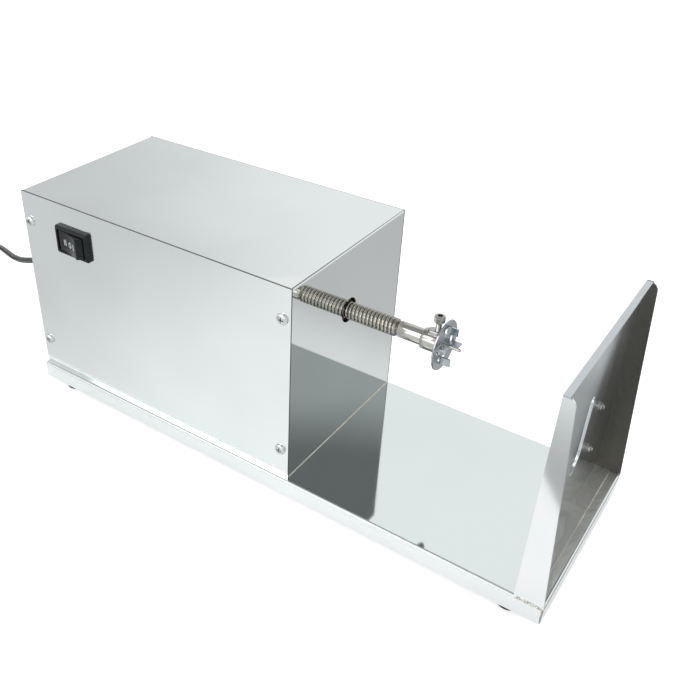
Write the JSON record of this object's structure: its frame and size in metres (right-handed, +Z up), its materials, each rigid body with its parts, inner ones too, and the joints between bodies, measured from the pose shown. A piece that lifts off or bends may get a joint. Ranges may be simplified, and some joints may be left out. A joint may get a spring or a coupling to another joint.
{
  "type": "tornado potato cutter",
  "caption": "Motor-driven spiral potato cutter: a turning, sliding lead screw feeds a pronged chuck towards a raised knife on a slotted sheet-steel stand",
  "frame": {"origin": "on the floor under the middle of the base tray", "axes": "+X from the motor housing to the knife stand, +Y to the back, away from the side with the switch, +Z up"},
  "size_m": [0.9103, 0.1865, 0.2115],
  "materials": {
    "steel_polished": "bright-annealed stainless sheet, mirror-like with a faint haze",
    "foot_rubber": "moulded matt rubber",
    "zinc_steel": "bright zinc-plated or stainless fasteners",
    "cast_alloy": "machined and cast alloy",
    "bronze": "turned bronze",
    "ground_steel": "ground stainless steel",
    "screw_steel": "turned stainless with darker thread roots",
    "fork_steel": "punched stainless sheet",
    "black_plastic": "fine-grained black moulding",
    "rocker_plastic": "satin black moulding",
    "red_plastic": "moulded red actuator",
    "white_plastic": "natural nylon",
    "capacitor_shell": "grey-white shell",
    "motor_paint": "dark enamel",
    "brass_tabs": "plated brass",
    "cord_sheath": "satin black PVC sheath",
    "plug_plastic": "satin black moulding"
  },
  "bodies": {
    "frame": {"base_tray": "steel_polished", "foot_plates": "steel_polished", "rubber_feet": "foot_rubber", "foot_screws": "zinc_steel", "foot_nuts": "zinc_steel", "deck_screws": "zinc_steel", "deck_nuts": "zinc_steel", "housing_wrap": "steel_polished", "front_side_panel": "steel_polished", "rear_side_panel": "steel_polished", "front_panel_screws": "zinc_steel", "rear_panel_screws": "zinc_steel", "panel_nuts": "zinc_steel", "support_plate": "cast_alloy", "lead_nut": "bronze", "lead_nut_screws": "zinc_steel", "guide_rods": "ground_steel", "rod_pedestals": "cast_alloy", "limit_blocks": "cast_alloy", "limit_switches": "black_plastic", "run_capacitor": "capacitor_shell", "capacitor_strap": "zinc_steel", "terminal_block": "white_plastic", "switch_body": "black_plastic", "switch_terminals": "brass_tabs", "cable_gland": "black_plastic", "gland_nut": "black_plastic", "blade_stand": "steel_polished", "spiral_knife": "ground_steel", "knife_bolts": "zinc_steel", "knife_washers": "zinc_steel", "knife_nuts": "zinc_steel", "mains_cord": "cord_sheath", "cord_coil": "cord_sheath", "plug_body": "plug_plastic", "plug_pins": "brass_tabs"},
    "carriage": {"carriage_plate": "cast_alloy", "slide_bushes": "bronze", "gearbox": "cast_alloy", "gearbox_screws": "zinc_steel", "motor_can": "motor_paint", "motor_cap": "cast_alloy", "limit_striker": "zinc_steel"},
    "spindle": {"output_shaft": "ground_steel", "shaft_coupling": "cast_alloy", "coupling_screw": "zinc_steel", "lead_screw": "screw_steel", "chuck_hub": "screw_steel", "fork_disc": "fork_steel", "centre_pin": "ground_steel"},
    "clamp_bolt": {"clamp_bolt": "ground_steel"},
    "rocker": {"switch_rocker": "rocker_plastic"},
    "front_plunger": {"front_limit_plunger": "red_plastic"},
    "rear_plunger": {"rear_limit_plunger": "red_plastic"}
  },
  "joints": [
    {"name": "spindle_turn", "type": "hinge", "parent": "carriage", "child": "spindle", "pos_m": [0, 0.002, 0.151], "axis": [1, 0, 0], "range_deg": [-6480, 9000]},
    {"name": "carriage_feed", "type": "slide", "parent": "frame", "child": "carriage", "axis": [1, 0, 0], "range_m": [-0.063, 0.0875]},
    {"name": "clamp_turn", "type": "hinge", "parent": "spindle", "child": "clamp_bolt", "pos_m": [0.117, 0.002, 0.165], "axis": [0, 0, 1], "range_deg": [0, 720]},
    {"name": "rocker_tilt", "type": "hinge", "parent": "frame", "child": "rocker", "pos_m": [-0.2015, -0.084, 0.1775], "axis": [0, 0, 1], "range_deg": [0, 24]},
    {"name": "front_plunger_press", "type": "slide", "parent": "frame", "child": "front_plunger", "axis": [1, 0, 0], "range_m": [0, 0.003], "stiffness_N_per_m": 150},
    {"name": "rear_plunger_press", "type": "slide", "parent": "frame", "child": "rear_plunger", "axis": [-1, 0, 0], "range_m": [0, 0.003], "stiffness_N_per_m": 150}
  ],
  "couplings": [
    {"joint": "spindle_turn", "follows": "carriage_feed", "rad_per_m": 1795.2}
  ]
}
